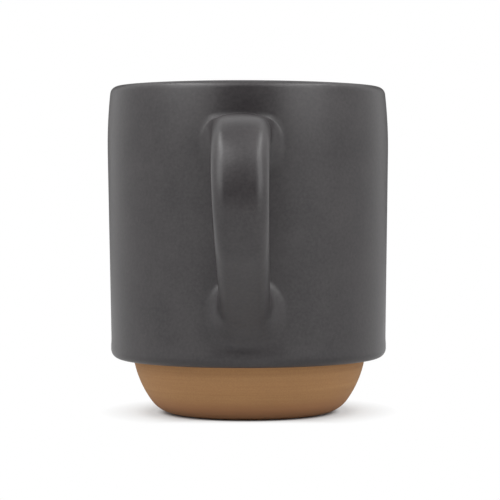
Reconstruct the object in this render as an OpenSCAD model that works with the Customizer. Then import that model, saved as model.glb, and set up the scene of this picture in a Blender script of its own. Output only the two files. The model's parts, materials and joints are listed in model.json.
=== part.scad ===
// Stoneware mug with a strap handle.
// A nearly straight glazed wall ends in a rounded shoulder that stands over a narrower
// foot of bare clay. The foot fits inside the rim of a second mug, so mugs can be stacked.
// The origin is on the mug's axis at the table. +Z points up and the handle points to -Y.
// All sizes are in millimetres and all angles in degrees.

/* [Body] */
// Height of the mug, from the table to the rim
height = 100; // [92:0.5:115]
// Diameter at the widest ring, a little below the rim
widest_d = 86; // [82:0.5:96]
// Depth of the widest ring below the rim
widest_drop = 18.3; // [12:0.1:24]
// Radius of the long curve that draws the wall in towards the rim
draw_in_r = 149; // [110:1:300]
// Angle at which the wall narrows towards the foot
wall_lean = 0.85; // [0.2:0.05:1.6]
// Thickness of the wall, which ends in a full round at the rim
wall_t = 5; // [4:0.1:6]

/* [Shoulder] */
// Radius of the rounded lower edge of the glazed wall
shoulder_r = 2.85; // [1.5:0.05:4]
// How far the shoulder stands proud of the wall above it
shoulder_proud = 0.16; // [0.05:0.01:0.4]
// Height over which the wall eases out to the shoulder
shoulder_ease = 3.6; // [2:0.1:5]

/* [Foot] */
// Height of the bare foot, from the table to the underside of the shoulder
foot_h = 16.85; // [14:0.05:19]
// Clearance all round between the foot and the rim of the mug that it stacks in
stack_gap = 1.55; // [0.5:0.05:3]
// Angle between the top of the foot and a plumb line
foot_lean = 9.4; // [4:0.1:15]
// Radius of the long curve down the side of the foot
foot_side_r = 30.75; // [26:0.25:38]
// Radius of the tighter curve that turns the foot under
foot_toe_r = 9.3; // [7:0.1:11]
// Width of the flat ring that the mug stands on
foot_ring_w = 3.2; // [2:0.1:5]
// Depth of the recess inside the foot ring
recess_h = 1.6; // [1.5:0.1:3]

/* [Inside] */
// Thickness of the floor above the recess
floor_t = 4.6; // [3.5:0.1:7]
// Radius of the long curve from the inner wall down towards the floor
bowl_r = 40; // [34:0.5:44]
// Radius of the tighter curve that meets the floor
bowl_floor_r = 14; // [10:0.5:18]

/* [Handle] */
// Drop from the rim to the top of the handle
handle_drop = 9.9; // [9:0.1:15]
// Rise from the underside of the shoulder to where the handle's outer face lands on the wall
handle_rise = 9.2; // [8:0.1:14]
// Reach of the handle beyond the widest ring
handle_reach = 33; // [30:0.5:40]
// Radius of the outer face through the upper bend
bend_top_r = 24; // [18:0.5:25]
// Radius of the outer face through the lower bend, which turns into a slanting leg
bend_low_r = 22; // [16:0.5:24]
// Straight length of the strap between its two bends
grip_h = 1; // [0.5:0.5:8]
// Width of the strap at its upper end
strap_top_w = 16.3; // [14:0.1:18]
// Width of the strap at its lower end
strap_low_w = 14.7; // [13:0.1:18]
// Thickness of the strap at its upper end
strap_top_t = 10.2; // [9.5:0.1:12]
// Thickness of the strap at its lower end
strap_low_t = 9; // [8.5:0.1:12]
// Rounding of the strap's four edges
strap_edge_r = 4.1; // [3:0.1:4.5]
// Radius of the gentle crown across the strap's broad faces
strap_crown_r = 36; // [30:1:90]
// How much the upper end widens before it joins the wall
join_top_wider = 3.8; // [0:0.1:6]
// How much the upper end thickens before it joins the wall
join_top_thicker = 5.5; // [1:0.1:8]
// How far the upper end's section turns into an oval, from 0 to 1
join_top_oval = 0.5; // [0:0.1:1]
// Radius of the fillet where the upper end joins the wall
join_top_r = 2.4; // [1:0.1:4]
// How much the lower end widens before it joins the wall
join_low_wider = 5; // [0:0.1:8]
// How much the lower end thickens before it joins the wall
join_low_thicker = 3.6; // [1:0.1:6]
// How far the lower end's section turns into an oval, from 0 to 1
join_low_oval = 1; // [0:0.1:1]
// Radius of the fillet where the lower end joins the wall
join_low_r = 2.4; // [1:0.1:4]

/* [Hidden] */

GLAZE = "#4d4c4d";
CLAY = "#9a744f";
$fn = 180;

// Steps along each kind of curve
LONG_STEPS = 6;
ROUND_STEPS = 8;
BOWL_STEPS = 10;
BEND_STEPS = 12;
GRIP_STEPS = 2;
LEG_STEPS = 12;
EDGE_STEPS = 6;
FACE_STEPS = 4;

// Short straight stretch between the shoulder's round and the ease above it
shoulder_land = 0.6;
// Rounded edge and inner fillet of the recess under the foot
recess_edge_r = 0.5;
recess_fillet_r = 0.9;
// How far the long bowl curve turns before the tighter one takes over
bowl_turn = 50;
// The glazed body reaches this far below its inner surface, and the foot laps into it
lining_t = 2;
lining_lap = 1;
// Largest share of the strap's thickness that one rounded edge may take
edge_share = 0.46;
// Length over which an end widens, as far as its leg is long enough
spread_l = 8;
// The fillets stop this far round, just before they would lie flat on the wall
fillet_end = 76;
// How far the ends of the strap are bedded into the wall, and how much they spread there
bed = 0.3 * wall_t;
bed_spread = 0.5;

// Unit vector at an angle, and points along an arc from one angle to another
function dir(a) = [cos(a), sin(a)];
function arc(c, r, a0, a1, n) = [for (i = [0:n]) c + r * dir(a0 + (a1 - a0) * i / n)];
function between(v) = [for (i = [1:len(v) - 2]) v[i]];
function reversed(v) = [for (i = [len(v) - 1:-1:0]) v[i]];
// Eases from 0 to 1 with no slope at either end
function ease(t) = (1 - cos(180 * min(1, max(0, t)))) / 2;

// Outlines are drawn as [radius, height], and angles are measured from the horizontal.

// The long curve of the wall passes through the widest ring and ends at the round rim.
lip_r = wall_t / 2;
widest_z = height - widest_drop;
draw_c = [widest_d / 2 - draw_in_r, widest_z];
lip_a = asin((widest_drop - lip_r) / (draw_in_r - lip_r));
lip_c = draw_c + (draw_in_r - lip_r) * dir(lip_a);
rim_in_r = lip_c[0] - lip_r;

// Below it the wall is straight, and a depth into the clay gives any parallel line.
wall_n = dir(-wall_lean);
wall_down = [-sin(wall_lean), -cos(wall_lean)];
function wall_start(depth) = draw_c + (draw_in_r - depth) * wall_n;
function wall_at(z, depth) =
    let (p = wall_start(depth))
    p + wall_down * (p[1] - z) / cos(wall_lean);
// Centre, at a given height, of a curve that is tangent to that line
function tangent_c(r, z, depth) = wall_at(z - r * sin(wall_lean), depth) - r * wall_n;
// Radius of the outer wall at a height
function wall_r(z) = z > wall_start(0)[1]
    ? draw_c[0] + sqrt(pow(draw_in_r, 2) - pow(z - widest_z, 2))
    : wall_at(z, 0)[0];

// The shoulder's round turns the wall under to the flat top of the foot.
shoulder_c = tangent_c(shoulder_r, foot_h + shoulder_r, -shoulder_proud);
ease_z = foot_h + shoulder_r + shoulder_land;

// The long bowl curve and the floor curve share one tangent where they meet.
floor_z = recess_h + floor_t;
bowl_z = floor_z + bowl_floor_r + (bowl_r - bowl_floor_r) * sin(bowl_turn);
bowl_c = tangent_c(bowl_r, bowl_z, wall_t);
bowl_floor_c = bowl_c + (bowl_r - bowl_floor_r) * dir(-bowl_turn);

// The side curve and the toe curve of the foot share one tangent where they meet.
foot_side_c = [rim_in_r - stack_gap, foot_h] - foot_side_r * dir(-foot_lean);
foot_turn = asin((foot_toe_r - foot_side_c[1]) / (foot_toe_r - foot_side_r));
foot_toe_c = foot_side_c + (foot_side_r - foot_toe_r) * dir(-foot_turn);
recess_r = foot_toe_c[0] - foot_ring_w;

function shoulder_outline() = concat(
    arc(shoulder_c, shoulder_r, -90, -wall_lean, ROUND_STEPS),
    [for (i = [0:LONG_STEPS])
        let (t = i / LONG_STEPS)
        wall_at(ease_z + shoulder_ease * t, -shoulder_proud * (1 - ease(t)))]
);
function wall_outline() = concat(
    arc(draw_c, draw_in_r, -wall_lean, lip_a, LONG_STEPS),
    between(arc(lip_c, lip_r, lip_a, 180 + lip_a, 2 * ROUND_STEPS)),
    arc(draw_c, draw_in_r - wall_t, lip_a, -wall_lean, LONG_STEPS)
);
function bowl_outline(depth, from) = concat(
    arc(bowl_c, bowl_r + depth, -from, -bowl_turn, BOWL_STEPS),
    between(arc(bowl_floor_c, bowl_floor_r + depth, -bowl_turn, -90, ROUND_STEPS)),
    [[bowl_floor_c[0], floor_z - depth], [0, floor_z - depth]]
);
// The same outline below the inner surface, from the top of the foot down to the axis
function lining(depth) = bowl_outline(depth, asin((bowl_z - foot_h) / (bowl_r + depth)));
function recess_outline() = concat(
    [[0, recess_h]],
    arc([recess_r - recess_edge_r - recess_fillet_r, recess_h - recess_fillet_r],
        recess_fillet_r, 90, 0, EDGE_STEPS),
    arc([recess_r, recess_edge_r], recess_edge_r, 180, 270, EDGE_STEPS)
);
function foot_outline() = concat(
    arc(foot_toe_c, foot_toe_r, -90, -foot_turn, ROUND_STEPS),
    between(arc(foot_side_c, foot_side_r, -foot_turn, -foot_lean, ROUND_STEPS)),
    [[rim_in_r - stack_gap, foot_h]]
);

// The handle's outer face follows this line: out along the top, down and back in.
out_s = widest_d / 2 + handle_reach;
top_z = height - handle_drop;
low_z = foot_h + handle_rise;
bend_top_c = [out_s - bend_top_r, top_z - bend_top_r];
bend_low_c = [out_s - bend_low_r, bend_top_c[1] - grip_h];

// The lower bend turns until its outer face points straight at its landing on the wall.
landing = [wall_r(low_z), low_z] - bend_low_c;
slant_a = atan2(landing[1], landing[0]) + acos(bend_low_r / norm(landing));

// From its top down to the end of the lower leg the strap narrows and thins.
function down_share(z) = ease((top_z - z) / (top_z - low_z - strap_low_t));
function strap_w(z) = strap_top_w + (strap_low_w - strap_top_w) * down_share(z);
function strap_t(z) = strap_top_t + (strap_low_t - strap_top_t) * down_share(z);
edge_r = min(strap_edge_r, edge_share * min(strap_top_t, strap_low_t));

// Section of the strap as [across, depth below the outer face], grown all round.
// Each crowned face is one arc that is tangent to the rounded edges beside it. With oval at
// 1 the crowns are so strong that the edges meet and the section becomes a full oval.
function strap_section(w, t, oval, grow) =
    let (
        x = w / 2 - edge_r,
        k = t / 2 - edge_r,
        oval_r = edge_r + (pow(x, 2) + pow(k, 2)) / (2 * k),
        crown_r = 1 / ((1 - oval) / strap_crown_r + oval / oval_r),
        tilt = asin(x / (crown_r - edge_r)),
        v = crown_r - (crown_r - edge_r) * cos(tilt),
        q = edge_r + grow,
        face = crown_r + grow
    )
    concat(
        arc([x, v], q, tilt - 90, 0, EDGE_STEPS),
        arc([x, t - v], q, 0, 90 - tilt, EDGE_STEPS),
        between(arc([0, t - crown_r], face, 90 - tilt, 90 + tilt, FACE_STEPS)),
        arc([-x, t - v], q, 90 + tilt, 180, EDGE_STEPS),
        arc([-x, v], q, 180, 270 - tilt, EDGE_STEPS),
        between(arc([0, crown_r], face, 270 - tilt, 270 + tilt, FACE_STEPS))
    );

// A ring of the strap whose outer face passes through c + r * dir(a) and faces the angle a
function bend_ring(c, r, a) =
    let (p = c + r * dir(a))
    [for (q = strap_section(strap_w(p[1]), strap_t(p[1]), 0, 0))
        let (s = p - q[1] * dir(a))
        [q[0], -s[0], s[1]]];

// Where a line from a point, in a given direction, stands a distance off the wall, at u to
// one side of the handle's plane. Each round takes the wall's radius at a better height.
function off_wall(from, way, u, off, rounds) =
    let (
        z = rounds == 0 ? from[1] : off_wall(from, way, u, off, rounds - 1)[1],
        s = sqrt(pow(wall_r(z) + off, 2) - pow(u, 2))
    )
    [s, from[1] + (s - from[0]) * way[1] / way[0]];

// A ring of a leg whose outer face starts at p and faces the angle a. The leg runs to the
// wall at the angle a + turn. At a share of 0 the ring is flat, as in the bend, and at 1
// every point stands the same distance off the round wall.
function leg_ring(p, a, turn, share, off, section) =
    [for (q = section)
        let (
            from = p - q[1] * dir(a),
            s = from + (off_wall(from, dir(a + turn), q[0], off, 3) - from) * share
        )
        [q[0], -s[0], s[1]]];

// A leg from its bend to the wall: it widens into an oval, flares round its fillet and is
// bedded in the wall. land_z is the height at which its outer face meets the wall.
// spread is how much it widens, how much it thickens and how far it turns into the oval.
function leg_section(z, spread, share, grow) = strap_section(
    strap_w(z) + spread[0] * share, strap_t(z) + spread[1] * share, spread[2] * share, grow);
function leg_rings(p, a, turn, land_z, r, spread) =
    let (
        leg_l = norm(p - [wall_r(land_z) + r, land_z]),
        from = max(0, 1 - spread_l / leg_l)
    )
    concat(
        [for (i = [1:LEG_STEPS])
            let (
                share = i / LEG_STEPS,
                z = p[1] + (land_z - p[1]) * share
            )
            leg_ring(p, a, turn, share, r,
                leg_section(z, spread, ease((share - from) / (1 - from)), 0))],
        [for (i = [1:ROUND_STEPS])
            let (b = fillet_end * i / ROUND_STEPS)
            leg_ring(p, a, turn, 1, r * (1 - sin(b)),
                leg_section(land_z, spread, 1, r * (1 - cos(b))))],
        [leg_ring(p, a, turn, 1, -bed,
            leg_section(land_z, spread, 1, r * (1 - cos(fillet_end)) + bed_spread))]
    );
join_top_spread = [join_top_wider, join_top_thicker, join_top_oval];
join_low_spread = [join_low_wider, join_low_thicker, join_low_oval];
top_leg_p = bend_top_c + bend_top_r * dir(90);
low_leg_p = bend_low_c + bend_low_r * dir(slant_a);
handle_rings = concat(
    reversed(leg_rings(top_leg_p, 90, 90, top_z, join_top_r, join_top_spread)),
    [for (i = [0:BEND_STEPS]) bend_ring(bend_top_c, bend_top_r, 90 - 90 * i / BEND_STEPS)],
    [for (i = [1:GRIP_STEPS - 1])
        let (c = bend_top_c + (bend_low_c - bend_top_c) * i / GRIP_STEPS)
        bend_ring([out_s, c[1]], 0, 0)],
    [for (i = [0:BEND_STEPS]) bend_ring(bend_low_c, bend_low_r, slant_a * i / BEND_STEPS)],
    leg_rings(low_leg_p, slant_a, -90, low_z, join_low_r, join_low_spread)
);
// The middle of a bedded end, in the plane of the handle
function end_middle(p, a, turn, t) =
    let (s = off_wall(p - t / 2 * dir(a), dir(a + turn), 0, -bed, 3))
    [0, -s[0], s[1]];

// Skin over a row of rings, with a fan of triangles over each end
module ring_skin(rings, start, end) {
    n = len(rings[0]);
    last = (len(rings) - 1) * n;
    points = concat([for (ring = rings) each ring], [start, end]);
    sides = [for (k = [0:len(rings) - 2], i = [0:n - 1])
        let (a = k * n + i, b = k * n + (i + 1) % n)
        each [[a, b, a + n], [b, b + n, a + n]]];
    start_fan = [for (i = [0:n - 1]) [(i + 1) % n, i, last + n]];
    end_fan = [for (i = [0:n - 1]) [last + i, last + (i + 1) % n, last + n + 1]];
    polyhedron(points, concat(sides, start_fan, end_fan), convexity = 4);
}

// Foot of bare clay, with the ring that it stands on and a shallow recess beneath
module bare_foot() {
    color(CLAY)
    rotate_extrude()
    polygon(concat(recess_outline(), foot_outline(), lining(lining_t - lining_lap)));
}

// Glazed wall with its shoulder, the full round rim and the lining of the inside
module glazed_body() {
    color(GLAZE)
    rotate_extrude()
    polygon(concat(
        shoulder_outline(),
        wall_outline(),
        bowl_outline(0, wall_lean),
        reversed(lining(lining_t))
    ));
}

// Strap handle: a rounded, slightly crowned section that is carried round two bends. It
// narrows on its way down, slants back to the wall, and widens where it joins it.
module handle() {
    color(GLAZE)
    ring_skin(
        handle_rings,
        end_middle(top_leg_p, 90, 90, strap_top_t),
        end_middle(low_leg_p, slant_a, -90, strap_low_t)
    );
}

module mug() {
    bare_foot();
    glazed_body();
    handle();
}

mug();
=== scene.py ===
# %% [markdown]
# # A stacking stoneware mug
#
# This lesson dresses a packed mug in Blender. The body was thrown and turned from
# stoneware clay, a strap handle was joined to it, and everything but the foot was dipped
# in a dark satin glaze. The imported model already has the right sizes, so the mesh here
# is worked out from the same measures and lands in the same place.

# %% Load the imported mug
import json
import math

import bpy
import numpy as np
from mathutils import Matrix, Vector

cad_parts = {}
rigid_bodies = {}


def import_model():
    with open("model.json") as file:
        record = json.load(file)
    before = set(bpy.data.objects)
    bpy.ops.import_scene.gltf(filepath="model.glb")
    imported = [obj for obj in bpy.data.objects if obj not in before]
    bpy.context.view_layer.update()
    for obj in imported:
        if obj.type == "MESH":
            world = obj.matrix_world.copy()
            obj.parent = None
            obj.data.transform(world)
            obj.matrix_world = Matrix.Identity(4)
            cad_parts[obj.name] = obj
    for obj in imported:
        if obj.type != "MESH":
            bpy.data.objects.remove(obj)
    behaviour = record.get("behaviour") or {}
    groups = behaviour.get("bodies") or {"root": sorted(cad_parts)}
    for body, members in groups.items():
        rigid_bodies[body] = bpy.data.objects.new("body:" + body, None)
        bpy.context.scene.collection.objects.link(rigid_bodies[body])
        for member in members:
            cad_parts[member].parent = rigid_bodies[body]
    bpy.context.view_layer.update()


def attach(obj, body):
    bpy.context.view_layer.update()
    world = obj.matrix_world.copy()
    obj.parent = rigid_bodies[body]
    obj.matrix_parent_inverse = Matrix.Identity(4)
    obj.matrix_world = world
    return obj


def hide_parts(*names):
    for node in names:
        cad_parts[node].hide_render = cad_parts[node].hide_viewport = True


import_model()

# %% [markdown]
# ## The measures
#
# A potter works from a drawing of half the pot: an outline of distances from the axis and
# heights above the table. Blender works in metres, but millimetres are easier to think
# in, so the outline is drawn in millimetres and scaled once, when the mesh is made.
#
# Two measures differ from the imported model's, because that is how this mug came out of
# the kiln: the swell above its shoulder is a millimetre shorter, and its handle sits
# 0.3 mm lower.

# %% Measures in millimetres and degrees
MM = 0.001

# The wall: its widest ring lies a little below the rim, and above it the wall curves in.
height = 100
widest_d = 86
widest_drop = 18.3
draw_in_r = 149
wall_lean = 0.85
wall_t = 5

# The shoulder: its rounding, how far the glaze swells above it, over what height that
# swell fades, and the short land below the place where it begins to fade.
shoulder_r = 2.85
shoulder_proud = 0.16
shoulder_ease = 2.6
shoulder_land = 0.6

# The foot: it clears the inside of a second mug's rim by the stacking gap on every side.
foot_h = 16.85
stack_gap = 1.55
foot_lean = 9.4
foot_side_r = 30.75
foot_toe_r = 9.3
foot_ring_w = 3.2
recess_h = 1.6
recess_edge_r = 0.5
recess_fillet_r = 0.9

# The inside: a flat floor, a small curve, a large curve, and then the straight wall.
floor_t = 4.6
bowl_r = 40
bowl_floor_r = 14
bowl_turn = 50

# The middles of the inner floor and of the underside are small fans of this radius.
fan_r = 3

print(f"mug {height} mm high and {widest_d} mm across, foot {foot_h} mm high")

# %% [markdown]
# ## Helpers for drawing an outline
#
# Arcs that share a tangent where they meet make a smooth outline. These helpers give a
# direction for an angle, an arc around a centre, and an ease that starts and ends level.

# %% Outline helpers


def heading(angle):
    """Direction for an angle in degrees: 0 points away from the axis and 90 points up."""
    turned = math.radians(angle)
    return np.array([math.cos(turned), math.sin(turned)])


def arc(centre, radius, start, end, steps):
    """Points of an arc, from one angle to another."""
    angles = np.radians(np.linspace(start, end, steps + 1))
    around = np.column_stack([np.cos(angles), np.sin(angles)])
    return np.asarray(centre) + radius * around


def line(start, end, steps):
    """Evenly spaced points of a straight line."""
    share = np.linspace(0, 1, steps + 1)[:, None]
    return np.asarray(start) * (1 - share) + np.asarray(end) * share


def ease(share):
    """From 0 to 1, level at both ends."""
    return (1 - np.cos(np.pi * np.clip(share, 0, 1))) / 2


print("ease at a quarter, a half and three quarters:", ease(np.array([0.25, 0.5, 0.75])).round(3))

# %% [markdown]
# ## The wall
#
# The outside is one long curve near the rim and a straight, slightly leaning line below
# it. The rim is a full round, and the inner face is the same curve, one wall inwards.
# The shoulder swells by a sixth of a millimetre where the glaze gathers.

# %% The wall's centres and radii
lip_r = wall_t / 2
widest_z = height - widest_drop
draw_centre = np.array([widest_d / 2 - draw_in_r, widest_z])
lip_angle = math.degrees(math.asin((widest_drop - lip_r) / (draw_in_r - lip_r)))
lip_centre = draw_centre + (draw_in_r - lip_r) * heading(lip_angle)
rim_inner_r = lip_centre[0] - lip_r
wall_normal = heading(-wall_lean)
wall_down = -heading(90 - wall_lean)
ease_z = foot_h + shoulder_r + shoulder_land


def wall_start(depth):
    """Where the curved part of the wall meets the straight part, that deep in the clay."""
    return draw_centre + (draw_in_r - depth) * wall_normal


def wall_point(z, depth):
    """Point of the straight part at a height, that deep in the clay."""
    start = wall_start(depth)
    return start + wall_down * (start[1] - z) / math.cos(math.radians(wall_lean))


def tangent_centre(radius, z, depth):
    """Centre, at a height, of an arc that touches the straight part from inside."""
    touch = wall_point(z - radius * math.sin(math.radians(wall_lean)), depth)
    return touch - radius * wall_normal


def outer_radius(z):
    """Radius of the outer wall at any height, or at an array of heights."""
    z = np.asarray(z, float)
    drop = (wall_start(0)[1] - z) * math.tan(math.radians(wall_lean))
    straight = wall_start(0)[0] - drop
    curved = draw_centre[0] + np.sqrt(draw_in_r**2 - (z - widest_z) ** 2)
    proud = shoulder_proud * (1 - ease((z - ease_z) / shoulder_ease))
    return np.where(z > wall_start(0)[1], curved, straight) + proud


print(f"rim opening {2 * rim_inner_r:.2f} mm across")

# %% [markdown]
# ## The whole outline
#
# The outline runs from the axis under the mug, round the foot, up the wall, over the rim
# and down the inside to the axis again. Under the shoulder the bare clay ends and the
# glaze begins with a small rounded edge, a fifth of a millimetre thick, because molten
# glaze draws back into a bead where it stops.

# %% The outline of the bare clay
glaze_t = 0.2
glaze_edge_r = 38.0
inner_corner_r = 0.8

shoulder_centre = tangent_centre(shoulder_r, foot_h + shoulder_r, -shoulder_proud)
foot_side_centre = np.array([rim_inner_r - stack_gap, foot_h]) - foot_side_r * heading(-foot_lean)
foot_turn = math.degrees(
    math.asin((foot_toe_r - foot_side_centre[1]) / (foot_toe_r - foot_side_r))
)
foot_toe_centre = foot_side_centre + (foot_side_r - foot_toe_r) * heading(-foot_turn)
recess_r = foot_toe_centre[0] - foot_ring_w
recess_flat_r = recess_r - recess_edge_r - recess_fillet_r

clay_under_z = foot_h + glaze_t
corner_z = clay_under_z - inner_corner_r
corner_reach = foot_side_r + inner_corner_r
corner_rise = corner_z - foot_side_centre[1]
corner_centre = np.array([
    foot_side_centre[0] + math.sqrt(corner_reach**2 - corner_rise**2),
    corner_z,
])
corner_angle = math.degrees(math.asin(corner_rise / corner_reach))

clay_outline = np.vstack([
    line([fan_r, recess_h], [recess_flat_r, recess_h], 6)[:-1],
    arc([recess_flat_r, recess_h - recess_fillet_r], recess_fillet_r, 90, 0, 7),
    arc([recess_r, recess_edge_r], recess_edge_r, 180, 270, 6),
    line([recess_r, 0], [foot_toe_centre[0], 0], 4)[1:-1],
    arc(foot_toe_centre, foot_toe_r, -90, -foot_turn, 14),
    arc(foot_side_centre, foot_side_r, -foot_turn, corner_angle, 16)[1:],
    arc(corner_centre, inner_corner_r, 180 + corner_angle, 90, 6)[1:],
    line([corner_centre[0], clay_under_z], [glaze_edge_r, clay_under_z], 4)[1:],
])
print("rows of bare clay:", len(clay_outline))

# %% [markdown]
# ## The glazed part of the outline
#
# From the edge of the glaze the outline goes round the shoulder and up the wall, over the
# full round of the rim, and down the inside. The inside ends in two curves and a flat
# floor, so that a spoon reaches everywhere.

# %% The outline of the glaze, outside and inside
wall_rows = 60
wall_low_z = shoulder_centre[1] - shoulder_r * math.sin(math.radians(wall_lean))
wall_high_z = lip_centre[1] + lip_r * math.sin(math.radians(lip_angle))
wall_z = np.linspace(wall_low_z, wall_high_z, wall_rows + 1)

floor_z = recess_h + floor_t
bowl_z = floor_z + bowl_floor_r + (bowl_r - bowl_floor_r) * math.sin(math.radians(bowl_turn))
bowl_centre = tangent_centre(bowl_r, bowl_z, wall_t)
bowl_floor_centre = bowl_centre + (bowl_r - bowl_floor_r) * heading(-bowl_turn)
bowl_top = bowl_centre + bowl_r * heading(-wall_lean)

shoulder_rows = np.vstack([
    arc([glaze_edge_r + glaze_t, clay_under_z], glaze_t, 180, 270, 5)[1:],
    line([glaze_edge_r + glaze_t, foot_h], [shoulder_centre[0], foot_h], 3)[1:-1],
    arc(shoulder_centre, shoulder_r, -90, -wall_lean, 14)[:-1],
])
inside_rows = np.vstack([
    arc(lip_centre, lip_r, lip_angle, 180 + lip_angle, 26)[1:],
    arc(draw_centre, draw_in_r - wall_t, lip_angle, -wall_lean, 9)[1:],
    line(wall_start(wall_t), bowl_top, 18)[1:],
    arc(bowl_centre, bowl_r, -wall_lean, -bowl_turn, 22)[1:],
    arc(bowl_floor_centre, bowl_floor_r, -bowl_turn, -90, 12)[1:],
    line([bowl_floor_centre[0], floor_z], [fan_r, floor_z], 4)[1:],
])
outline = np.vstack([
    clay_outline,
    shoulder_rows,
    np.column_stack([outer_radius(wall_z), wall_z]),
    inside_rows,
])
first_wall_row = len(clay_outline) + len(shoulder_rows)
print("rows in all:", len(outline), "with the wall from row", first_wall_row)

# %% [markdown]
# ## Turning the outline
#
# The outline is turned about the axis into a grid of four-sided faces. Two windows are
# left open in the outer wall, where the handle will grow out of it. A join that is woven
# into the grid stays smooth, while a handle pushed through the wall would leave a seam.
#
# A window is given in faces of the grid: half its width in columns, its height in rows,
# and the row of the wall where it starts.

# %% The grid of the body
columns = 288
window_half = 16
window_rows = 20
low_window = 1
high_window = 39

turn = 2 * np.pi * np.arange(columns) / columns
grid = np.stack([
    outline[:, 0, None] * np.sin(turn),
    -outline[:, 0, None] * np.cos(turn),
    np.broadcast_to(outline[:, 1, None], (len(outline), columns)),
], axis=-1)


def grid_index(row, column):
    """Number of a grid point. Columns go round, so the last one meets the first."""
    return row * columns + column % columns


def in_window(row, column):
    """True where a face of the grid is left out for the handle."""
    side = (column + columns // 2) % columns - columns // 2
    if not -window_half <= side < window_half:
        return False
    height_in_wall = row - first_wall_row
    return any(0 <= height_in_wall - low < window_rows for low in (low_window, high_window))


body_faces = [
    (grid_index(row, column), grid_index(row, column + 1),
     grid_index(row + 1, column + 1), grid_index(row + 1, column))
    for row in range(len(outline) - 1)
    for column in range(columns)
    if not in_window(row, column)
]
under_middle = len(outline) * columns
inner_middle = under_middle + 1
last_row = len(outline) - 1
body_faces += [
    (under_middle, grid_index(0, column + 1), grid_index(0, column))
    for column in range(columns)
]
body_faces += [
    (grid_index(last_row, column), grid_index(last_row, column + 1), inner_middle)
    for column in range(columns)
]
middles = np.array([[0, 0, recess_h], [0, 0, floor_z]], float)
print("faces of the body:", len(body_faces))

# %% [markdown]
# ## The strap's section
#
# The handle is a strap: wider than it is thick, with rounded edges and faces that are
# slightly crowned. Each crowned face is an arc that is tangent to the rounded edges. With
# a stronger crown the section turns into an oval, as it does where the strap was pressed
# onto the wall. A ring starts at the corner between the outer face and the +X side, and
# its points are evenly spaced on each side, so the mesh has no bunched rows.

# %% Section of the strap
strap_top_w = 16.3
strap_low_w = 14.7
strap_top_t = 10.2
strap_low_t = 9
strap_edge_r = 4.1
strap_crown_r = 36

side_steps = window_rows
face_steps = 2 * window_half
ring_size = 2 * (side_steps + face_steps)
quarter_samples = 180


def evenly(path, steps):
    """Points at even distances along a path, without its last point."""
    lengths = np.hypot(*np.diff(path, axis=0).T)
    travelled = np.concatenate([[0], np.cumsum(lengths)])
    wanted = np.linspace(0, travelled[-1], steps + 1)[:-1]
    return np.column_stack([np.interp(wanted, travelled, path[:, i]) for i in (0, 1)])


def strap_section(width, thickness, oval=0, grow=0):
    """Ring of [across, depth below the outer face], grown all round."""
    across = width / 2 - strap_edge_r
    deep = thickness / 2 - strap_edge_r
    oval_r = strap_edge_r + (across**2 + deep**2) / (2 * deep)
    crown_r = 1 / ((1 - oval) / strap_crown_r + oval / oval_r)
    upright = math.sqrt((crown_r - strap_edge_r) ** 2 - across**2)
    facing = arc([0, 0], 1, -45, 315, 4 * quarter_samples)
    side = np.sign(facing)
    middle = np.array([0, thickness / 2])
    edge = middle + side * [across, thickness / 2 - crown_r + upright]
    edge = edge + facing * (strap_edge_r + grow)
    face = middle + side * [0, thickness / 2 - crown_r] + facing * (crown_r + grow)
    on_edge = np.abs(facing[:, 1:]) <= upright / (crown_r - strap_edge_r)
    path = np.where(on_edge, edge, face)
    steps = (side_steps, face_steps, side_steps, face_steps)
    starts = [quarter_samples * i for i in range(4)]
    quarters = [path[start:start + quarter_samples + 1] for start in starts]
    return np.vstack([evenly(quarter, count) for quarter, count in zip(quarters, steps)])


top_section = strap_section(strap_top_w, strap_top_t)
print("points in a ring:", len(top_section), "size:", np.ptp(top_section, axis=0).round(2))

# %% [markdown]
# ## The handle's path
#
# The strap leaves the wall level, turns down through one bend, and slants back to the wall
# after a second one. On the way down it gets narrower and thinner. Its ends also sit a
# little to one side or the other, as the clay did when it was joined by hand.

# %% Bends of the handle
handle_drop = 10.2
handle_rise = 9.2
handle_reach = 33
bend_top_r = 24
bend_low_r = 22
grip_h = 1

reach_y = widest_d / 2 + handle_reach
top_z = height - handle_drop
low_z = foot_h + handle_rise
bend_top = np.array([reach_y - bend_top_r, top_z - bend_top_r])
bend_low = np.array([reach_y - bend_low_r, bend_top[1] - grip_h])
landing = np.array([float(outer_radius(low_z)), low_z]) - bend_low
slant = math.degrees(
    math.atan2(landing[1], landing[0]) + math.acos(bend_low_r / np.hypot(*landing))
)

low_sideways = 0.45
top_sideways = -0.55
lean_from_z = 82
lean_over = 36
top_end_y = 58
top_end_over = 12


def down_share(z):
    """From 0 at the top of the strap to 1 where its lower end begins to join."""
    return float(ease((top_z - z) / (top_z - low_z - strap_low_t)))


def strap_width(z):
    return strap_top_w + (strap_low_w - strap_top_w) * down_share(z)


def strap_thickness(z):
    return strap_top_t + (strap_low_t - strap_top_t) * down_share(z)


def sideways(point):
    """How far a ring sits to the side, from the place of its outer face."""
    down = float(ease((lean_from_z - point[1]) / lean_over))
    at_top = float(ease((top_end_y - point[0]) / top_end_over))
    return low_sideways * down + top_sideways * at_top * (1 - down)


def bend_ring(centre, radius, angle):
    """Flat ring whose outer face passes through the bend's arc at that angle."""
    out = heading(angle)
    point = centre + radius * out
    section = strap_section(strap_width(point[1]), strap_thickness(point[1]))
    place = point - section[:, 1, None] * out
    return np.column_stack([section[:, 0] + sideways(point), -place[:, 0], place[:, 1]])


bend_top_steps = 34
bend_low_steps = 20
bends = [
    bend_ring(bend_top, bend_top_r, 90 - 90 * i / bend_top_steps)
    for i in range(bend_top_steps + 1)
]
bends += [
    bend_ring(bend_low, bend_low_r, slant * i / bend_low_steps)
    for i in range(bend_low_steps + 1)
]
print(f"handle reaches {reach_y:.1f} mm from the axis and slants by {-slant:.1f} degrees")

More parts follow.
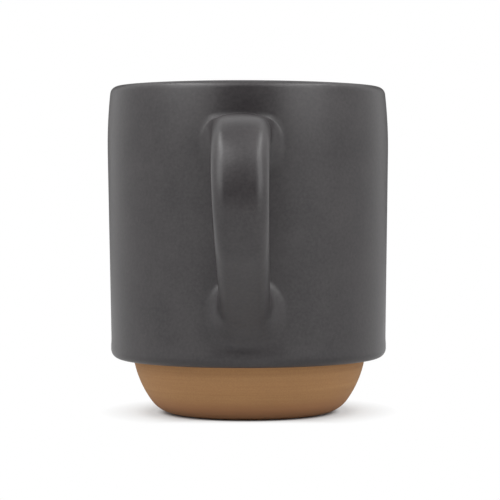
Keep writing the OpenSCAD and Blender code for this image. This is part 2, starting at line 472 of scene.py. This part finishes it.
# %% [markdown]
# ## The legs
#
# Where a strap joins a pot, its end is pressed on and spreads, and the potter smooths the
# seam with a wet finger. The glaze then fills the seam further, so strap and wall flow
# into each other along a low mound. So each leg turns from the flat ring of its bend into
# a ring that follows the round wall, and then widens along a soft slope. The last ring
# lies on the wall and is tangent to it.
#
# The slope is a cubic curve with two handles, as in a drawing program. One runs down the
# strap and the other along the wall, and each is given as a share of the slope's height
# or width. A join says how much the section grows along the slope, and how far it moves
# away from the strap's outer face.

# %% Legs that follow the wall
mound_height = 5
mound_start = 0.35
mound_end = 0.65
leg_top_steps = 10
leg_low_steps = 26
mound_steps = 16
off_wall_rounds = 8

top_join = {"wider": 3.8, "thicker": 3.9, "oval": 0.5, "radius": 2.4, "inward": 1.6}
low_join = {"wider": 5, "thicker": 3.6, "oval": 1, "radius": 2.4, "inward": 0}


def off_wall(points, way, across, off):
    """Where lines from the points, all in one direction, stand that far off the wall.

    The wall's radius changes with the height, so the place is found in a few rounds.
    """
    z = points[:, 1]
    for _ in range(off_wall_rounds):
        reach = np.sqrt((outer_radius(z) + off) ** 2 - across**2)
        z = points[:, 1] + (reach - points[:, 0]) * way[1] / way[0]
    return np.column_stack([reach, z])


def leg(start, facing, turn, land_z, join, steps):
    """Rings from a bend to the wall. The outer face starts there and lands at that height."""
    way = heading(facing + turn)
    land = np.array([float(outer_radius(land_z)) + mound_height, land_z])

    def ring(share, spread, off):
        """A ring at a share of the way, spread by a share of the join, that far off the wall."""
        point = start + (land - start) * share
        section = strap_section(
            strap_width(point[1]) + join["wider"] * spread,
            strap_thickness(point[1]) + join["thicker"] * spread,
            join["oval"] * spread,
            join["radius"] * spread,
        ) + [0, join["inward"] * spread]
        across = section[:, 0] + sideways(point)
        begin = start - section[:, 1, None] * heading(facing)
        place = begin + (off_wall(begin, way, across, off) - begin) * share
        return np.column_stack([across, -place[:, 0], place[:, 1]])

    rings = [ring(i / steps, 0, mound_height) for i in range(1, steps + 1)]
    for i in range(1, mound_steps + 1):
        t = i / mound_steps
        spread = 3 * (1 - t) * t**2 * (1 - mound_end) + t**3
        height_share = (1 - t) ** 3 + 3 * (1 - t) ** 2 * t * (1 - mound_start)
        rings.append(ring(1, spread, mound_height * height_share))
    return rings


top_start = bend_top + bend_top_r * heading(90)
low_start = bend_low + bend_low_r * heading(slant)
top_leg = leg(top_start, 90, 90, top_z, top_join, leg_top_steps)
low_leg = leg(low_start, slant, -90, low_z, low_join, leg_low_steps)
for name, rings in (("upper", top_leg), ("lower", low_leg)):
    low, high = rings[-1].min(0).round(1), rings[-1].max(0).round(1)
    print(f"{name} end on the wall: x {low[0]} to {high[0]}, z {low[2]} to {high[2]}")

# %% [markdown]
# ## Rings on the wall
#
# A few rings on the wall itself lead from the end of each mound out to the edge of its
# window, so the handle's rings and the body's grid share their last points.

# %% Rings on the wall
patch_steps = 5


def window_loop(low, outer_is_up):
    """Grid points around a window, in the order of a ring of the strap."""
    bottom = first_wall_row + low
    top = bottom + window_rows
    first, second = (top, bottom) if outer_is_up else (bottom, top)
    step = -1 if outer_is_up else 1
    cells = [(row, window_half) for row in range(first, second, step)]
    cells += [(second, column) for column in range(window_half, -window_half, -1)]
    cells += [(row, -window_half) for row in range(second, first, -step)]
    cells += [(first, column) for column in range(-window_half, window_half)]
    return [grid_index(row, column) for row, column in cells]


def on_wall(turned, z):
    """Points of the outer wall, by their turn about the axis and their height."""
    radius = outer_radius(z)
    return np.column_stack([radius * np.sin(turned), -radius * np.cos(turned), z])


def patch_rings(loop_points, last_ring):
    """Rings on the wall between a window's edge and the ring where the mound ends."""
    rings = []
    start_turn = np.arctan2(loop_points[:, 0], -loop_points[:, 1])
    end_turn = np.arctan2(last_ring[:, 0], -last_ring[:, 1])
    for i in range(1, patch_steps):
        share = i / patch_steps
        turned = start_turn + (end_turn - start_turn) * share
        z = loop_points[:, 2] + (last_ring[:, 2] - loop_points[:, 2]) * share
        rings.append(on_wall(turned, z))
    return rings


points = grid.reshape(-1, 3)
high_loop = window_loop(high_window, True)
low_loop = window_loop(low_window, False)
handle_rings = [
    *patch_rings(points[high_loop], top_leg[-1]),
    *reversed(top_leg),
    *bends,
    *low_leg,
    *reversed(patch_rings(points[low_loop], low_leg[-1])),
]
print("rings of the handle:", len(handle_rings))

# %% [markdown]
# ## One mesh
#
# The mug is one piece of fired clay, so it becomes one closed mesh. Points of the grid
# that lie inside the windows carry no face and are dropped.

# %% Join the handle to the body
ring_start = inner_middle + 1
loops = [high_loop]
loops += [
    list(range(ring_start + i * ring_size, ring_start + (i + 1) * ring_size))
    for i in range(len(handle_rings))
]
loops.append(low_loop)
handle_faces = [
    (here[i], there[i], there[(i + 1) % ring_size], here[(i + 1) % ring_size])
    for here, there in zip(loops, loops[1:])
    for i in range(ring_size)
]
all_points = np.vstack([points, middles, *handle_rings])
all_faces = body_faces + handle_faces
used = sorted({index for face in all_faces for index in face})
new_index = {old: new for new, old in enumerate(used)}
mug_faces = [tuple(new_index[index] for index in face) for face in all_faces]
mug_points = all_points[used]
print(f"mug: {len(mug_points)} points, {len(mug_faces)} faces")

# %% [markdown]
# ## What the kiln and the hand leave behind
#
# No pot comes out quite true. On this one the rim sinks by half a millimetre towards +X,
# and the foot was turned a fifth of a millimetre off the axis. Both are moves of the
# finished points, so the surface stays smooth. The slope of the rim begins softly on the
# axis and half-way up. At the end everything is drawn in by a hair, to lie inside the
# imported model's box.

# %% Small errors of a hand-made pot
rim_slope = 0.0119
slope_blend = 12
slope_from_z = 50
slope_power = 1.5
foot_shift = 0.22
within_box = 0.9996

clay_indices = [*range(len(clay_outline) * columns), new_index[under_middle]]
clay_radii = np.hypot(mug_points[clay_indices, 0], mug_points[clay_indices, 1])
foot_share = (glaze_edge_r - clay_radii) / (glaze_edge_r - corner_centre[0])
mug_points[clay_indices, 0] += foot_shift * np.clip(foot_share, 0, 1)

above = np.clip((mug_points[:, 2] - slope_from_z) / (height - slope_from_z), 0, 1)
towards_x = (mug_points[:, 0] + np.hypot(mug_points[:, 0], slope_blend)) / 2
mug_points[:, 2] -= rim_slope * towards_x * above**slope_power
mug_points[:, :2] *= within_box
print("lowest and highest corner:", mug_points.min(0).round(3), mug_points.max(0).round(3))

# %% [markdown]
# ## The finished mug
#
# The mesh is shaded smooth, but for corners as sharp as the one where the glaze ends. The
# faces of the bare clay are marked, so that they get the second material. The mug then
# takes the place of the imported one.

# %% Make the mesh, smooth but for the edge of the glaze
sharp_over = 50

mug_mesh = bpy.data.meshes.new("stoneware_mug")
mug_mesh.from_pydata((mug_points * MM).tolist(), [], mug_faces)
mug_mesh.update()
mug_mesh.shade_smooth()
mug_mesh.set_sharp_from_angle(angle=math.radians(sharp_over))
mug = bpy.data.objects.new("stoneware_mug", mug_mesh)
bpy.context.scene.collection.objects.link(mug)

clay_faces = (len(clay_outline) - 1) * columns
under_fan = len(body_faces) - 2 * columns
is_clay = np.zeros(len(mug_faces), np.int32)
is_clay[:clay_faces] = 1
is_clay[under_fan:under_fan + columns] = 1
mug_mesh.polygons.foreach_set("material_index", is_clay)

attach(mug, "root")
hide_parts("mug")
print("faces of bare clay:", int(is_clay.sum()))

# %% [markdown]
# ## Materials
#
# Every colour is written as the hex value that a colour picker shows, and one function
# turns it into the linear numbers that the shader works with. Another one adds a node
# with its settings and links, so that a material reads from top to bottom.

# %% Helpers for materials


def linear(hex_colour):
    """The linear RGBA of an sRGB hex colour such as #808080."""
    parts = [int(hex_colour[i:i + 2], 16) / 255 for i in (1, 3, 5)]
    return [p / 12.92 if p <= 0.04045 else ((p + 0.055) / 1.055) ** 2.4 for p in parts] + [1]


def add_node(tree, kind, inputs=None, **settings):
    """Adds a node. An input is a value, or the output of another node to link."""
    node = tree.nodes.new(kind)
    for name, value in settings.items():
        setattr(node, name, value)
    for name, value in (inputs or {}).items():
        if isinstance(value, bpy.types.NodeSocket):
            tree.links.new(value, node.inputs[name])
        else:
            node.inputs[name].default_value = value
    return node


def new_material(name):
    """An empty material, with its node tree and its output node."""
    material = bpy.data.materials.new(name)
    material.use_nodes = True
    material.node_tree.nodes.clear()
    return material, add_node(material.node_tree, "ShaderNodeOutputMaterial")


def per_metre(millimetres):
    """Scale of a noise whose blotches are about that many millimetres apart."""
    return 1 / (millimetres * MM)


print("middle grey as a linear number:", round(linear("#808080")[0], 3))

# %% [markdown]
# ## Kiln-fired satin glaze
#
# A satin glaze is glass with tiny crystals in it. The crystals make its surface softly
# rough, so it mirrors the room only as a broad sheen: faint where it faces the eye, and
# pale at the edges, where any glass reflects more. Its colour is a near black that pools
# and thins a little, and its surface has the low waves of glaze that flowed when hot.
#
# The sizes are how far apart the blotches and waves are, in millimetres. Real glaze
# crystals are far too fine to show, so the speckle is drawn as coarse as the eye needs
# for a grain.

# %% The glaze
pool_size = 14
speckle_size = 0.9
wave_size = 3.5
wave_depth = 0.05
grain_depth = 0.02

glaze, glaze_output = new_material("satin_stoneware_glaze")
tree = glaze.node_tree
place = add_node(tree, "ShaderNodeTexCoord").outputs["Object"]
pooling = add_node(tree, "ShaderNodeTexNoise", {
    "Vector": place, "Scale": per_metre(pool_size), "Detail": 3, "Roughness": 0.55,
})
speckle = add_node(tree, "ShaderNodeTexNoise", {
    "Vector": place, "Scale": per_metre(speckle_size), "Detail": 2, "Roughness": 0.6,
})
mottle = add_node(tree, "ShaderNodeMath", {
    0: pooling.outputs[0], 1: speckle.outputs[0],
}, operation="ADD")
mottle_share = add_node(tree, "ShaderNodeMapRange", {
    "Value": mottle.outputs[0], "From Min": 0.7, "From Max": 1.3, "To Min": 0, "To Max": 1,
})
glaze_colour = add_node(tree, "ShaderNodeMix", {
    "Factor": mottle_share.outputs[0], 6: linear("#242123"), 7: linear("#343132"),
}, data_type="RGBA")
glaze_roughness = add_node(tree, "ShaderNodeMapRange", {
    "Value": pooling.outputs[0], "From Min": 0.3, "From Max": 0.7,
    "To Min": 0.35, "To Max": 0.40,
})
waves = add_node(tree, "ShaderNodeTexNoise", {
    "Vector": place, "Scale": per_metre(wave_size), "Detail": 2, "Roughness": 0.5,
})
wave_bump = add_node(tree, "ShaderNodeBump", {
    "Height": waves.outputs[0], "Strength": 0.25, "Distance": wave_depth * MM,
})
grain_bump = add_node(tree, "ShaderNodeBump", {
    "Height": speckle.outputs[0], "Strength": 0.25, "Distance": grain_depth * MM,
    "Normal": wave_bump.outputs[0],
})
glaze_shader = add_node(tree, "ShaderNodeBsdfPrincipled", {
    "Base Color": glaze_colour.outputs[2],
    "Roughness": glaze_roughness.outputs[0],
    "IOR": 1.5,
    "Normal": grain_bump.outputs[0],
})
tree.links.new(glaze_shader.outputs[0], glaze_output.inputs["Surface"])

# %% [markdown]
# ## Bare stoneware clay
#
# The foot was left without glaze so that it would not stick to the kiln shelf. Fired
# stoneware with iron in it is a warm brown. It is quite matt, with fine grains of grog
# and faint rings from the turning tool, which run level around the foot. The lowest
# millimetres are drawn darker and a little redder.
#
# Grog is crushed fired clay. Its grains are about as fine as the picture can show, and
# are drawn at the coarse end of their real size. The rings are a noise that is stretched
# along the table, so each one runs around the foot.

# %% The clay
tool_ring_gap = 1.1
tool_ring_length = 60
tool_ring_depth = 0.12
grog_size = 0.5
grog_depth = 0.06
toe_from_z = 3
toe_to_z = 7

clay, clay_output = new_material("unglazed_turned_stoneware")
tree = clay.node_tree
place = add_node(tree, "ShaderNodeTexCoord").outputs["Object"]
stretched = add_node(tree, "ShaderNodeMapping", {
    "Vector": place,
    "Scale": [per_metre(size) for size in (tool_ring_length, tool_ring_length, tool_ring_gap)],
})
tool_rings = add_node(tree, "ShaderNodeTexNoise", {
    "Vector": stretched.outputs[0], "Scale": 1, "Detail": 3, "Roughness": 0.6,
})
grog = add_node(tree, "ShaderNodeTexNoise", {
    "Vector": place, "Scale": per_metre(grog_size), "Detail": 3, "Roughness": 0.7,
})
ring_colour = add_node(tree, "ShaderNodeMix", {
    "Factor": tool_rings.outputs[0], 6: linear("#956a42"), 7: linear("#b18858"),
}, data_type="RGBA")
grog_share = add_node(tree, "ShaderNodeMapRange", {
    "Value": grog.outputs[0], "From Min": 0.35, "From Max": 0.7, "To Min": 0, "To Max": 0.4,
})
grained = add_node(tree, "ShaderNodeMix", {
    "Factor": grog_share.outputs[0], 6: ring_colour.outputs[2], 7: linear("#896240"),
}, data_type="RGBA")
ring_bump = add_node(tree, "ShaderNodeBump", {
    "Height": tool_rings.outputs[0], "Strength": 0.4, "Distance": tool_ring_depth * MM,
})
grog_bump = add_node(tree, "ShaderNodeBump", {
    "Height": grog.outputs[0], "Strength": 0.5, "Distance": grog_depth * MM,
    "Normal": ring_bump.outputs[0],
})
level = add_node(tree, "ShaderNodeSeparateXYZ", {0: place})
# Below toe_to_z the clay colour is mixed towards a darker, redder brown, fully so below
# toe_from_z.
toe_share = add_node(tree, "ShaderNodeMapRange", {
    "Value": level.outputs["Z"], "From Min": toe_from_z * MM, "From Max": toe_to_z * MM,
    "To Min": 1, "To Max": 0,
})
darker_toe = add_node(tree, "ShaderNodeMix", {
    "Factor": toe_share.outputs[0], 6: grained.outputs[2], 7: linear("#9b6e49"),
}, data_type="RGBA")
clay_shader = add_node(tree, "ShaderNodeBsdfPrincipled", {
    "Base Color": darker_toe.outputs[2],
    "Roughness": 0.8,
    "IOR": 1.5,
    "Normal": grog_bump.outputs[0],
})
tree.links.new(clay_shader.outputs[0], clay_output.inputs["Surface"])

mug_mesh.materials.append(glaze)
mug_mesh.materials.append(clay)
print("materials:", [m.name for m in mug_mesh.materials])

# %% [markdown]
# ## The table
#
# The mug stands on a pale matt table that runs on into a white room. For the light and
# for every reflection it is one plain pale grey, so the mug has a true soft shadow and its
# underside picks up light from the table. The camera sees the table bleach out to pure
# white with distance and towards the front, as in an overexposed studio picture. The
# shadow stays beside and behind the foot, and in the narrow ring where the foot meets the
# table nothing is bleached at all. All distances are in millimetres, from the mug's axis
# or from the centre of the shade.

# %% The floor
floor_radius = 1500
floor_below = 0.03
contact_from = 25.6
contact_to = 28.5
shade_centre = (0, 2, 0)
shade_from = 30
shade_to = 46
shade_most = 0.58
front_from = -15
front_to = -33

floor_sides = 96
floor_turn = 2 * np.pi * np.arange(floor_sides) / floor_sides
floor_points = np.column_stack([
    floor_radius * np.cos(floor_turn),
    floor_radius * np.sin(floor_turn),
    np.full(floor_sides, -floor_below),
])
floor_mesh = bpy.data.meshes.new("studio_floor")
floor_mesh.from_pydata((floor_points * MM).tolist(), [], [tuple(range(floor_sides))])
floor = bpy.data.objects.new("studio_floor", floor_mesh)
bpy.context.scene.collection.objects.link(floor)

floor_material, floor_output = new_material("pale_matt_table")
tree = floor_material.node_tree
place = add_node(tree, "ShaderNodeTexCoord").outputs["Object"]
from_centre = add_node(tree, "ShaderNodeVectorMath", {
    0: place, 1: [value * MM for value in shade_centre],
}, operation="DISTANCE")
bleached = add_node(tree, "ShaderNodeMapRange", {
    "Value": from_centre.outputs["Value"], "From Min": shade_from * MM,
    "From Max": shade_to * MM, "To Min": 1 - shade_most, "To Max": 1,
})
place_parts = add_node(tree, "ShaderNodeSeparateXYZ", {0: place})
in_front = add_node(tree, "ShaderNodeMapRange", {
    "Value": place_parts.outputs["Y"], "From Min": front_from * MM,
    "From Max": front_to * MM,
})
bleached_most = add_node(tree, "ShaderNodeMath", {
    0: bleached.outputs[0], 1: in_front.outputs[0],
}, operation="MAXIMUM")
from_axis = add_node(tree, "ShaderNodeVectorMath", {0: place}, operation="LENGTH")
clear_of_foot = add_node(tree, "ShaderNodeMapRange", {
    "Value": from_axis.outputs["Value"], "From Min": contact_from * MM,
    "From Max": contact_to * MM,
})
bleached_outside = add_node(tree, "ShaderNodeMath", {
    0: bleached_most.outputs[0], 1: clear_of_foot.outputs[0],
}, operation="MULTIPLY")
ray = add_node(tree, "ShaderNodeLightPath")
bleached_for_camera = add_node(tree, "ShaderNodeMath", {
    0: bleached_outside.outputs[0], 1: ray.outputs["Is Camera Ray"],
}, operation="MULTIPLY")
matt = add_node(tree, "ShaderNodeBsdfDiffuse", {"Color": linear("#cecece")})
white = add_node(tree, "ShaderNodeEmission", {"Color": linear("#ffffff"), "Strength": 1.0})
floor_mix = add_node(tree, "ShaderNodeMixShader", {
    0: bleached_for_camera.outputs[0], 1: matt.outputs[0], 2: white.outputs[0],
})
tree.links.new(floor_mix.outputs[0], floor_output.inputs["Surface"])
floor_mesh.materials.append(floor_material)
print("floor radius:", floor_radius, "mm")

# %% [markdown]
# ## The light of the room
#
# A dark gloss shows the room more than its own colour, so the room is drawn with care. It
# is a white sweep: white behind the mug and on both sides, a little dimmer overhead, and
# dark on the photographer's side, where the room itself stands. That dark part is what the
# front of the mug mirrors. Low behind the mug, where the table ends, the sweep is dim.
# The camera, and anything seen through glass, gets plain white all round.
#
# The room is drawn on the sphere of directions, whose radius is one. Sides are told by X,
# front and back by Y, and heights by Z, so a Z of 0.5 is 30 degrees up.

# %% The world
side_starts = 0.47
side_ends = 0.51
behind_starts = 0.3
behind_ends = 0.6
overhead_starts = 0.6
overhead_ends = 0.98
dim_half_width = 0.48
dim_blend = 0.08
dim_top_starts = 0.42
dim_top_ends = 0.55
white_level = 1.0
top_level = 0.73
dim_level = 0.17

world = bpy.data.worlds.new("white_sweep")
bpy.context.scene.world = world
world.use_nodes = True
world.node_tree.nodes.clear()
tree = world.node_tree
direction = add_node(tree, "ShaderNodeTexCoord").outputs["Generated"]
split = add_node(tree, "ShaderNodeSeparateXYZ", {0: direction})
across = add_node(tree, "ShaderNodeMath", {0: split.outputs["X"]}, operation="ABSOLUTE")
at_side = add_node(tree, "ShaderNodeMapRange", {
    "Value": across.outputs[0], "From Min": side_starts, "From Max": side_ends,
}, interpolation_type="SMOOTHSTEP")
behind = add_node(tree, "ShaderNodeMapRange", {
    "Value": split.outputs["Y"], "From Min": behind_starts, "From Max": behind_ends,
}, interpolation_type="SMOOTHSTEP")
walls = add_node(tree, "ShaderNodeMath", {
    0: at_side.outputs[0], 1: behind.outputs[0],
}, operation="MAXIMUM")
low_behind = add_node(tree, "ShaderNodeMapRange", {
    "Value": across.outputs[0], "From Min": dim_half_width - dim_blend,
    "From Max": dim_half_width + dim_blend, "To Min": dim_level, "To Max": white_level,
}, interpolation_type="SMOOTHSTEP")
above_dim_zone = add_node(tree, "ShaderNodeMapRange", {
    "Value": split.outputs["Z"], "From Min": dim_top_starts, "From Max": dim_top_ends,
}, interpolation_type="SMOOTHSTEP")
wall_white = add_node(tree, "ShaderNodeMix", {
    0: above_dim_zone.outputs[0], 2: low_behind.outputs[0], 3: white_level,
}, data_type="FLOAT")
wall_light = add_node(tree, "ShaderNodeMath", {
    0: walls.outputs[0], 1: wall_white.outputs[0],
}, operation="MULTIPLY")
overhead = add_node(tree, "ShaderNodeMapRange", {
    "Value": split.outputs["Z"], "From Min": overhead_starts, "From Max": overhead_ends,
}, interpolation_type="SMOOTHSTEP")
room = add_node(tree, "ShaderNodeMix", {
    0: overhead.outputs[0], 2: wall_light.outputs[0], 3: top_level,
}, data_type="FLOAT")
ray = add_node(tree, "ShaderNodeLightPath")
plain_white = add_node(tree, "ShaderNodeMath", {
    0: ray.outputs["Is Camera Ray"], 1: ray.outputs["Is Transmission Ray"],
}, operation="MAXIMUM")
seen = add_node(tree, "ShaderNodeMix", {
    0: plain_white.outputs[0], 2: room.outputs[0], 3: 1.0,
}, data_type="FLOAT")
background = add_node(tree, "ShaderNodeBackground", {
    "Color": linear("#ffffff"), "Strength": seen.outputs[0],
})
add_node(tree, "ShaderNodeOutputWorld", {"Surface": background.outputs[0]})
print("room levels:", white_level, top_level, dim_level)

# %% [markdown]
# ## Soft boxes and overhead strips
#
# A soft box is a cloth panel with a lamp behind it. Two stand in front of the mug, up left
# and up right, and draw the soft streaks along the rounded edges of the strap and under
# the rim. Two narrow strips high above the sides draw the bright corners on the top bend
# of the handle. Each is set by its direction, by how wide and tall it looks from the mug,
# and by how bright its cloth is beside a white of one. The watts follow from its area,
# because a matt panel sends pi times its brightness out of each square metre.

# %% Soft boxes and strips
box_distance = 1.0


def soft_box(name, turn, rise, half_width, half_height, level):
    """A panel lamp that faces the mug. All angles are in degrees.

    Turn runs from the photographer's side towards +X, and rise from the horizon upwards.
    Half its width and half its height are the angles that they fill, seen from the mug.
    """
    lamp = bpy.data.lights.new(name, "AREA")
    lamp.shape = "RECTANGLE"
    lamp.size = 2 * box_distance * math.tan(math.radians(half_width))
    lamp.size_y = 2 * box_distance * math.tan(math.radians(half_height))
    lamp.energy = math.pi * level * lamp.size * lamp.size_y
    box = bpy.data.objects.new(name, lamp)
    away = Vector((
        math.sin(math.radians(turn)) * math.cos(math.radians(rise)),
        -math.cos(math.radians(turn)) * math.cos(math.radians(rise)),
        math.sin(math.radians(rise)),
    ))
    box.location = Vector((0, 0, height / 2 * MM)) + away * box_distance
    box.rotation_euler = away.to_track_quat("Z", "Y").to_euler()
    box.visible_camera = False
    bpy.context.scene.collection.objects.link(box)
    print(f"{name}: {lamp.size:.2f} by {lamp.size_y:.2f} m, {lamp.energy:.1f} W")


soft_box("soft_box_left", -50, 42, 22, 28, 2.3)
soft_box("soft_box_right", 49, 36, 18, 27, 2.3)
soft_box("strip_left", -80, 61, 20, 5, 6.5)
soft_box("strip_right", 80, 61, 20, 5, 6.5)

# %% [markdown]
# ## The camera
#
# The photograph was taken with a long lens from a little under the height of the rim.
# The lens is given by its focal length in pixels of a 500 pixel frame. The camera's place
# is given by its distance from the axis, its height and its turn about the axis, and its
# aim by three small angles.

# %% Camera
image_size = 500
focal_pixels = 2046.69
camera_distance = 629.478
camera_height = 69.866
camera_side = 1.8
camera_down = 1.8293
camera_yaw = 0.0505
camera_roll = -0.18506

camera_data = bpy.data.cameras.new("camera")
camera_data.sensor_width = 36
camera_data.lens = focal_pixels / image_size * camera_data.sensor_width
camera_data.clip_start = 0.01
camera_data.clip_end = 10
camera = bpy.data.objects.new("camera", camera_data)
side = math.radians(camera_side)
stand = Matrix.Translation((
    math.sin(side) * camera_distance * MM,
    -math.cos(side) * camera_distance * MM,
    camera_height * MM,
))
camera.matrix_world = (
    stand
    @ Matrix.Rotation(math.radians(camera_side - camera_yaw), 4, "Z")
    @ Matrix.Rotation(math.radians(90 - camera_down), 4, "X")
    @ Matrix.Rotation(math.radians(camera_roll), 4, "Z")
)
bpy.context.scene.collection.objects.link(camera)
bpy.context.scene.camera = camera
print(f"lens {camera_data.lens:.2f} mm")

# %% [markdown]
# ## Finish
#
# The picture keeps plain colours, so a white of one stays white.

# %% Finish
bpy.context.scene.view_settings.view_transform = "Standard"
